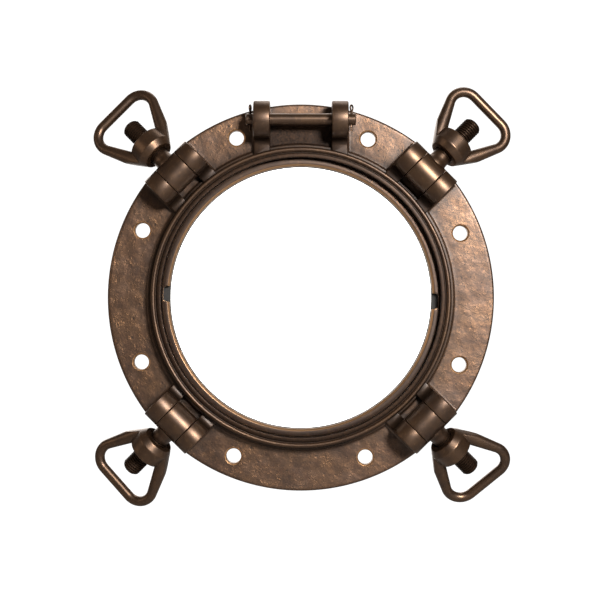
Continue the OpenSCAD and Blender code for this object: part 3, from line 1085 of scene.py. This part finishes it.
@dataclass
class SwingBolt:
    """Eye bolt with a threaded end, drawn with its eye at the origin and its shank along +X. Sizes in mm."""

    eye_r: float = 19.0
    eye_half: float = 14.3
    bore_r: float = 7.05
    shank_r: float = 11.0
    flare: float = 2.0
    thread_from: float = 27.5
    length: float = 84.5
    end_bevel: float = 3.0
    pitch: float = 3.0
    thread_depth: float = 1.6

    def thread(self) -> bpy.types.Object:
        """The helical thread, trimmed to the bolt's end."""
        crest, root = self.shank_r - 0.04, self.shank_r - self.thread_depth
        shares = ((0, root), (0.064, root), (0.42, crest), (0.58, crest), (0.936, root), (1, root))
        tooth = [(self.pitch * share, r) for share, r in shares]
        begin = self.thread_from - 2 * self.pitch
        turns = math.ceil((self.length - begin) / self.pitch) + 2
        points = [Vector((begin + x, 0, r)) * MM for x, r in tooth]
        piece = Bench.wire("thread", points, closed=False)
        Bench.apply(
            piece, "SCREW", axis="X", angle=math.tau, screw_offset=self.pitch * MM, iterations=turns, steps=36,
            render_steps=36, use_merge_vertices=True, merge_threshold=0.002 * MM,
        )
        Bench.edit(piece, "VERT")
        bpy.ops.mesh.remove_doubles(threshold=0.002 * MM)
        bpy.ops.mesh.select_all(action="SELECT")
        bpy.ops.mesh.fill_holes(sides=0)
        bpy.ops.mesh.normals_make_consistent(inside=False)
        Bench.done()
        end, r = self.length, self.shank_r
        profile = [(0.0, self.thread_from), (r + 1, self.thread_from), (r + 1, end - 4.2)]
        profile += [(r - self.end_bevel + 0.6, end - 0.4), (r - self.end_bevel - 0.4, end), (0.0, end)]
        envelope = Bench.lathe("envelope", Axis.BOLT, profile, 48, closed=False)
        Bench.combine(piece, envelope, "INTERSECT")
        return piece

    def shank(self) -> bpy.types.Object:
        """The plain shank with its flare into the eye."""
        r = self.shank_r
        profile = [(0.0, 2.0), (r + self.flare, 2.0), (r + self.flare, 15.5)]
        profile += [(r + 1.55, 17.5), (r + 0.75, 19.5), (r + 0.25, 21.5), (r, 24.0)]
        profile += [(r, self.thread_from + 0.5), (r - 0.5, self.thread_from + 1.0), (0.0, self.thread_from + 1.0)]
        return Bench.lathe("shank", Axis.BOLT, profile, 64, closed=False)

    def eye(self) -> bpy.types.Object:
        """The round eye with soft rims, bored for its pin."""
        h, r, soft = self.eye_half, self.eye_r, 0.7
        profile = [(self.bore_r, -h + 0.5), (self.bore_r + 0.5, -h)]
        profile += arc(r - soft, -h + soft, soft, 270, 360, 4)
        profile += line((r, -h * 0.5), (r, h * 0.5), 4)
        profile += arc(r - soft, h - soft, soft, 0, 90, 4)
        profile += [(self.bore_r + 0.5, h), (self.bore_r, h - 0.5)]
        return Bench.lathe("eye", Axis.PIN, profile, 96)

    def pattern(self) -> bpy.types.Object:
        """The whole bolt at the origin, its thread painted for the finish."""
        piece = self.eye()
        shank = self.shank()
        Bench.clear()
        bpy.ops.mesh.primitive_cylinder_add(
            vertices=96, radius=(self.bore_r + 2) * MM, depth=60 * MM, rotation=(math.radians(90), 0, 0)
        )
        core = bpy.context.active_object
        bpy.ops.object.transform_apply(location=True, rotation=True, scale=True)
        Bench.combine(shank, core, "DIFFERENCE")
        Bench.combine(piece, shank, "UNION")
        Bench.combine(piece, self.thread(), "UNION")
        painted = piece.data.attributes.new(BOLT.oil_and_shade, "FLOAT", "POINT")
        start = self.thread_from * MM
        for vertex in piece.data.vertices:
            painted.data[vertex.index].value = 1.0 if vertex.co.x > start else 0.0
        return piece


@dataclass
class HandleNut:
    """Round nut cast with a loop handle, drawn along +X from the dog's pivot. Sizes in mm."""

    seat: float = 31.4
    height: float = 24.2
    radius: float = 22.5
    face_r: float = 17.5
    cone: float = 7.5
    taper: float = 0.8
    bore_r: float = 11.05
    bar_r: float = 5.85
    reach: float = 109.1
    half_w: float = 39.7
    corner_r: float = 18.0
    spread: float = 24.0
    root_r: float = 9.2
    root_flat: float = 0.78
    root_x: float = 36.0
    voxel: float = 0.55

    def boss(self) -> bpy.types.Object:
        """The turned body of the nut."""
        top = self.seat + self.height
        shoulder = self.radius - self.taper
        profile = [(0.0, self.seat), (self.face_r - 0.3, self.seat), (self.face_r + 0.2, self.seat + 0.25)]
        profile += [(self.radius - 0.35, self.seat + self.cone - 0.6), (self.radius, self.seat + self.cone + 0.3)]
        profile += arc(shoulder - 1.8, top - 1.8, 1.8, 5, 90, 6) + [(0.0, top)]
        return Bench.lathe("boss", Axis.BOLT, profile, 96, closed=False)

    def loop(self) -> bpy.types.Object:
        """The loop handle: half of the outer bar, a corner and an arm, mirrored."""
        cx, cy = self.reach - self.corner_r, self.half_w - self.corner_r
        Bench.clear()
        bpy.ops.mesh.primitive_circle_add(
            vertices=32, radius=self.bar_r * MM, fill_type="NOTHING", location=Vector((self.reach, 0, 0)) * MM,
            rotation=(math.radians(90), 0, 0),
        )
        piece = bpy.context.active_object
        bpy.ops.object.transform_apply(location=True, rotation=True, scale=True)
        Bench.edit(piece, "VERT")
        bpy.ops.mesh.extrude_region_move(TRANSFORM_OT_translate={"value": Vector((0, cy, 0)) * MM})
        bpy.ops.mesh.spin(
            steps=20, angle=-math.radians(90 + self.spread), center=Vector((cx, cy, 0)) * MM, axis=(0, 0, 1),
            use_auto_merge=False,
        )
        lean = math.radians(self.spread)
        end = Vector((cx - self.corner_r * math.sin(lean), cy + self.corner_r * math.cos(lean), 0))
        run = (end.x - self.root_x) / math.cos(lean)
        way = Vector((-math.cos(lean), -math.sin(lean), 0))
        for k in range(4):
            step = way * (run / 4)
            bpy.ops.mesh.extrude_region_move(TRANSFORM_OT_translate={"value": step * MM})
            grown = (self.bar_r + (self.root_r - self.bar_r) * (k + 1) / 4) / (
                self.bar_r + (self.root_r - self.bar_r) * k / 4
            )
            flat = self.root_flat ** 0.25
            bpy.ops.transform.resize(
                value=(grown, grown, grown * flat), center_override=(end + step * (k + 1)) * MM
            )
        bpy.ops.mesh.edge_face_add()
        Bench.done()
        Bench.apply(piece, "MIRROR", use_axis=(False, True, False), use_mirror_merge=True, merge_threshold=0.01 * MM)
        Bench.tidy(piece)
        return piece

    def pattern(self) -> bpy.types.Object:
        """The whole nut with its joints softened as in a casting, bored for the thread."""
        piece = self.boss()
        Bench.combine(piece, self.loop(), "UNION")
        slope = (self.radius - self.face_r) / self.cone
        wide = self.half_w + self.bar_r + 4
        limit = [(0.0, self.seat), (self.face_r - 0.3, self.seat), (self.face_r + 0.2, self.seat + 0.25)]
        limit += [(wide, self.seat + (wide - self.face_r) / slope), (wide, self.reach + 10), (0.0, self.reach + 10)]
        Bench.combine(piece, Bench.lathe("limit", Axis.BOLT, limit, 96, closed=False), "INTERSECT")
        Bench.apply(piece, "REMESH", mode="VOXEL", voxel_size=self.voxel * MM, use_smooth_shade=True)
        Bench.apply(piece, "SMOOTH", factor=0.5, iterations=3)
        Bench.apply(piece, "DECIMATE", ratio=0.4)
        r, low, top = self.bore_r, self.seat, self.seat + self.height
        profile = [(0.0, low - 3), (r + 4.4, low - 3), (r, low + 1.4)]
        profile += [(r, top - 1.0), (r + 4.0, top + 3), (0.0, top + 3)]
        Bench.combine(piece, Bench.lathe("bore", Axis.BOLT, profile, 64, closed=False), "DIFFERENCE")
        return piece


@dataclass
class Dogs:
    """The four dogs: pivot pin, swing bolt and handle nut each. Angles in degrees."""

    nut_turns: tuple[float, float, float, float] = (2.0, 0.0, 7.0, 12.0)
    pin_r: float = 7.0
    pin_half: float = 32.7

    def stand(self, corner: Corner) -> Matrix:
        """Place of a dog, from its two joints.

        Args:
            corner: Which dog.

        Returns:
            A frame at its pivot, X along its bolt and Y along its pin.
        """
        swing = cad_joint("dog_swing_" + corner.value)
        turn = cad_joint("nut_turn_" + corner.value)
        x, y = Vector(turn["axis"]).normalized(), -Vector(swing["axis"]).normalized()
        z = x.cross(y)
        matrix = Matrix((x, y, z)).transposed().to_4x4()
        matrix.translation = Vector(swing["pos_m"])
        return matrix

    def pin(self) -> bpy.types.Object:
        """The pivot pin, along Y, its ends peened into the lugs."""
        r, h = self.pin_r, self.pin_half
        profile = [(0.0, -h + 0.15), (r * 0.6, -h + 0.1), (r - 0.5, -h + 0.25), (r, -h + 0.9)]
        profile += [(r, h - 0.9), (r - 0.5, h - 0.25), (r * 0.6, h - 0.1), (0.0, h - 0.15)]
        return Bench.lathe("pin", Axis.PIN, profile, 48, closed=False)

    def build(self) -> None:
        """Builds one dog, copies it to the four corners and hands the copies over."""
        patterns = {"swing_bolt": SwingBolt().pattern(), "handle_nut": HandleNut().pattern(), "dog_pin": self.pin()}
        finishes = {"swing_bolt": BOLT.make(), "handle_nut": HANDLE.make(), "dog_pin": DRAWN.make()}
        slots = {"swing_bolt": "bolt_bronze", "handle_nut": "handle_bronze", "dog_pin": "drawn_bronze"}
        names = {"swing_bolt": "eye", "handle_nut": "loop", "dog_pin": "peened"}
        for corner, nut_turn in zip(Corner, self.nut_turns):
            stand = self.stand(corner)
            for kind, pattern in patterns.items():
                where = stand
                if kind == "handle_nut":
                    where = stand @ Matrix.Rotation(math.radians(nut_turn), 4, "X")
                node = f"{kind}_{corner.value}"
                piece = Bench.copy(pattern, f"{node}_{names[kind]}", where)
                Bench.smooth(piece, 38)
                body = "window" if kind == "dog_pin" else node
                hand_over(piece, finishes[kind], body, slots[kind], [node])
        for pattern in patterns.values():
            Bench.discard(pattern)


@dataclass
class CoverHinge:
    """The bare hinge pin and the split pin at each of its ends. Sizes in mm."""

    pin_r: float = 6.75
    pin_half: float = 62.6
    split_x: float = 57.6
    split_hole_r: float = 2.1
    wire_r: float = 1.0
    wire_off: float = 1.06
    eye_r: float = 3.3
    leg: float = 6.3
    spread: float = 9.0
    turns: tuple[float, float] = (76.0, 62.0)

    def pin(self) -> bpy.types.Object:
        """The pin along Y with softened ends and its two cross holes."""
        r, h = self.pin_r, self.pin_half
        profile = [(0.0, -h), (r - 1.6, -h), (r - 0.6, -h + 0.35), (r, -h + 1.2)]
        profile += line((r, -h + 6), (r, h - 6), 8) + [(r, h - 6), (r, h - 1.2), (r - 0.6, h - 0.35)]
        profile += [(r - 1.6, h), (0.0, h)]
        piece = Bench.lathe("hinge_pin_rod", Axis.PIN, profile, 64, closed=False)
        for side in (-1, 1):
            Bench.clear()
            bpy.ops.mesh.primitive_cylinder_add(
                vertices=24, radius=self.split_hole_r * MM, depth=30 * MM,
                location=Vector((0, side * self.split_x, 0)) * MM,
            )
            tool = bpy.context.active_object
            bpy.ops.object.transform_apply(location=True, rotation=True, scale=True)
            Bench.combine(piece, tool, "DIFFERENCE")
        return piece

    def split_pin(self) -> bpy.types.Object:
        """A split pin along Z: wire folded to an eye above, two legs bent apart below."""
        Bench.clear()
        lean = math.radians(self.spread)
        low = -self.pin_r - 0.4
        out = Vector((math.sin(lean), 0, -math.cos(lean)))
        knee = Vector((self.wire_off, 0, low))
        tip = knee + out * self.leg
        bpy.ops.mesh.primitive_circle_add(
            vertices=16, radius=self.wire_r * MM, fill_type="NGON", location=tip * MM,
            rotation=(0, math.pi - lean, 0),
        )
        piece = bpy.context.active_object
        bpy.ops.object.transform_apply(location=True, rotation=True, scale=True)
        Bench.edit(piece, "FACE")
        top = Vector((self.wire_off, 0, self.pin_r + 1.2))
        for before, after in ((tip, knee), (knee, top)):
            bpy.ops.mesh.extrude_region_move(TRANSFORM_OT_translate={"value": (after - before) * MM})
        rise = Vector((0, 0, self.eye_r + 1.0))
        eye = Vector((0, 0, top.z + rise.z + 0.6))
        side = Vector((self.eye_r, 0, eye.z))
        bpy.ops.mesh.extrude_region_move(TRANSFORM_OT_translate={"value": (side - top) * MM})
        bpy.ops.mesh.spin(
            steps=12, angle=math.radians(90), center=eye * MM, axis=(0, 1, 0), use_auto_merge=False
        )
        bpy.ops.transform.resize(value=(0, 1, 1), center_override=(0, 0, 0))
        bpy.ops.mesh.delete(type="ONLY_FACE")
        Bench.done()
        Bench.apply(piece, "MIRROR", use_axis=(True, False, False), use_mirror_merge=True, merge_threshold=0.01 * MM)
        Bench.tidy(piece)
        return piece

    def build(self) -> None:
        """Builds the pins, dresses them and hands them over."""
        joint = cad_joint("hinge_pin_turn")
        finish = DRAWN.make()
        turn = Matrix.Rotation(math.radians(-90), 4, "Z")
        at_pin = Matrix.Translation(joint["pos_m"])
        rod = self.pin()
        rod.matrix_world = at_pin @ turn
        Bench.take(rod)
        bpy.ops.object.transform_apply(location=True, rotation=True, scale=True)
        Bench.smooth(rod, 34)
        hand_over(rod, finish, "hinge_pin", "drawn_bronze", ["hinge_pin"])
        pattern = self.split_pin()
        for side, name, turned in ((-1, "split_pin_left", self.turns[0]), (1, "split_pin_right", self.turns[1])):
            spun = Matrix.Rotation(math.radians(turned), 4, "Z")
            where = at_pin @ Matrix.Translation((side * self.split_x * MM, 0, 0)) @ spun
            piece = Bench.copy(pattern, name + "_wire", where)
            Bench.smooth(piece, 50)
            hand_over(piece, finish, "hinge_pin", "drawn_bronze", [name])
        Bench.discard(pattern)


@dataclass
class Studio:
    """Pale floor, soft studio light and the camera. Lengths in metres."""

    focal: float = 93.9
    distance: float = 1.812
    off_x: float = -0.001
    off_z: float = -0.0028
    floor_drop: float = 0.62
    white: float = 1.15

    @staticmethod
    def looked_at(nodes: bpy.types.Nodes, links: bpy.types.NodeLinks) -> bpy.types.NodeSocket:
        """Tells rays that look at a background from rays that it lights.

        Args:
            nodes: The node tree's nodes.
            links: The node tree's links.

        Returns:
            1 where it is seen directly or through the glass, 0 where it only lights the piece.
        """
        path = nodes.new("ShaderNodeLightPath")
        either = nodes.new("ShaderNodeMath")
        either.operation = "MAXIMUM"
        links.new(path.outputs["Is Camera Ray"], either.inputs[0])
        links.new(path.outputs["Is Transmission Ray"], either.inputs[1])
        return either.outputs[0]

    def camera(self) -> None:
        """A camera square to the window."""
        Bench.clear()
        bpy.ops.object.camera_add(
            location=(self.off_x, -self.distance, self.off_z), rotation=(math.radians(90), 0, 0)
        )
        camera = bpy.context.active_object
        camera.data.lens = self.focal
        camera.data.sensor_width = 36
        bpy.context.scene.camera = camera

    def floor(self) -> None:
        """A plain pale floor well below the window."""
        Bench.clear()
        bpy.ops.mesh.primitive_circle_add(
            vertices=96, radius=30, fill_type="NGON", location=(0, 0, -self.floor_drop)
        )
        floor = bpy.context.active_object
        floor.name = "studio_floor"
        g = Graph("studio_white")
        g.set(Base_Color=(0.35, 0.35, 0.35, 1), Roughness=0.9)
        g.shader.inputs["Specular IOR Level"].default_value = 0.0
        glow = g.nodes.new("ShaderNodeEmission")
        glow.inputs["Strength"].default_value = self.white
        mix = g.nodes.new("ShaderNodeMixShader")
        g.links.new(self.looked_at(g.nodes, g.links), mix.inputs[0])
        g.links.new(g.shader.outputs[0], mix.inputs[1])
        g.links.new(glow.outputs[0], mix.inputs[2])
        g.links.new(mix.outputs[0], g.nodes["Material Output"].inputs["Surface"])
        floor.data.materials.append(g.material)

    def world(self) -> None:
        """White to look at, softly graded in reflections."""
        world = bpy.data.worlds.new("studio")
        bpy.context.scene.world = world
        world.use_nodes = True
        nodes, links = world.node_tree.nodes, world.node_tree.links
        seen = nodes["Background"]
        seen.inputs["Color"].default_value = (1, 1, 1, 1)
        seen.inputs["Strength"].default_value = self.white
        place = nodes.new("ShaderNodeTexCoord")
        split = nodes.new("ShaderNodeSeparateXYZ")
        links.new(place.outputs["Generated"], split.inputs[0])
        grade = nodes.new("ShaderNodeMapRange")
        grade.inputs["From Min"].default_value = -1.0
        grade.inputs["From Max"].default_value = 1.0
        grade.inputs["To Min"].default_value = 0.05
        grade.inputs["To Max"].default_value = 0.17
        links.new(split.outputs["Z"], grade.inputs["Value"])
        behind = nodes.new("ShaderNodeMapRange")
        behind.inputs["From Min"].default_value = 0.1
        behind.inputs["From Max"].default_value = 1.0
        behind.inputs["To Min"].default_value = 0.0
        behind.inputs["To Max"].default_value = 0.22
        links.new(split.outputs["Y"], behind.inputs["Value"])
        total = nodes.new("ShaderNodeMath")
        links.new(grade.outputs["Result"], total.inputs[0])
        links.new(behind.outputs["Result"], total.inputs[1])
        around = nodes.new("ShaderNodeBackground")
        around.inputs["Color"].default_value = (1.0, 0.84, 0.7, 1)
        links.new(total.outputs[0], around.inputs["Strength"])
        mix = nodes.new("ShaderNodeMixShader")
        links.new(self.looked_at(nodes, links), mix.inputs[0])
        links.new(around.outputs[0], mix.inputs[1])
        links.new(seen.outputs[0], mix.inputs[2])
        links.new(mix.outputs[0], nodes["World Output"].inputs["Surface"])

    @staticmethod
    def lamp(name: str, place: Vector, size: float, power: float, tint: tuple[float, float, float]) -> None:
        """A square area lamp that looks at the window.

        Args:
            name: Name of the lamp.
            place: Its place.
            size: Its side.
            power: Its power in watts.
            tint: Its colour.
        """
        Bench.clear()
        bpy.ops.object.light_add(type="AREA", location=place, rotation=(-place).to_track_quat("-Z", "Y").to_euler())
        lamp = bpy.context.active_object
        lamp.name = name
        lamp.data.shape = "SQUARE"
        lamp.data.size = size
        lamp.data.energy = power
        lamp.data.color = tint

    def build(self) -> None:
        """Sets the scene."""
        self.camera()
        self.floor()
        self.world()
        self.lamp("key", Vector((0.78, -1.9, 0.62)), 0.45, 68, (1.0, 0.97, 0.94))
        self.lamp("fill", Vector((-2.2, -1.0, 0.4)), 1.2, 5, (1.0, 0.86, 0.72))
        self.lamp("rim", Vector((0.3, 1.2, 2.2)), 1.2, 8, (1.0, 0.94, 0.88))
        self.lamp("back", Vector((-0.6, 2.4, 0.5)), 2.6, 42, (1.0, 0.96, 0.92))
        bpy.context.scene.view_settings.view_transform = "Standard"


def main() -> None:
    """Builds the window and its studio."""
    logging.basicConfig(level=logging.INFO, format="%(message)s")
    FrameCasting().build()
    Glazing().build()
    Dogs().build()
    CoverHinge().build()
    Studio().build()
    Bench.clear()


if __name__ == "__main__":
    main()
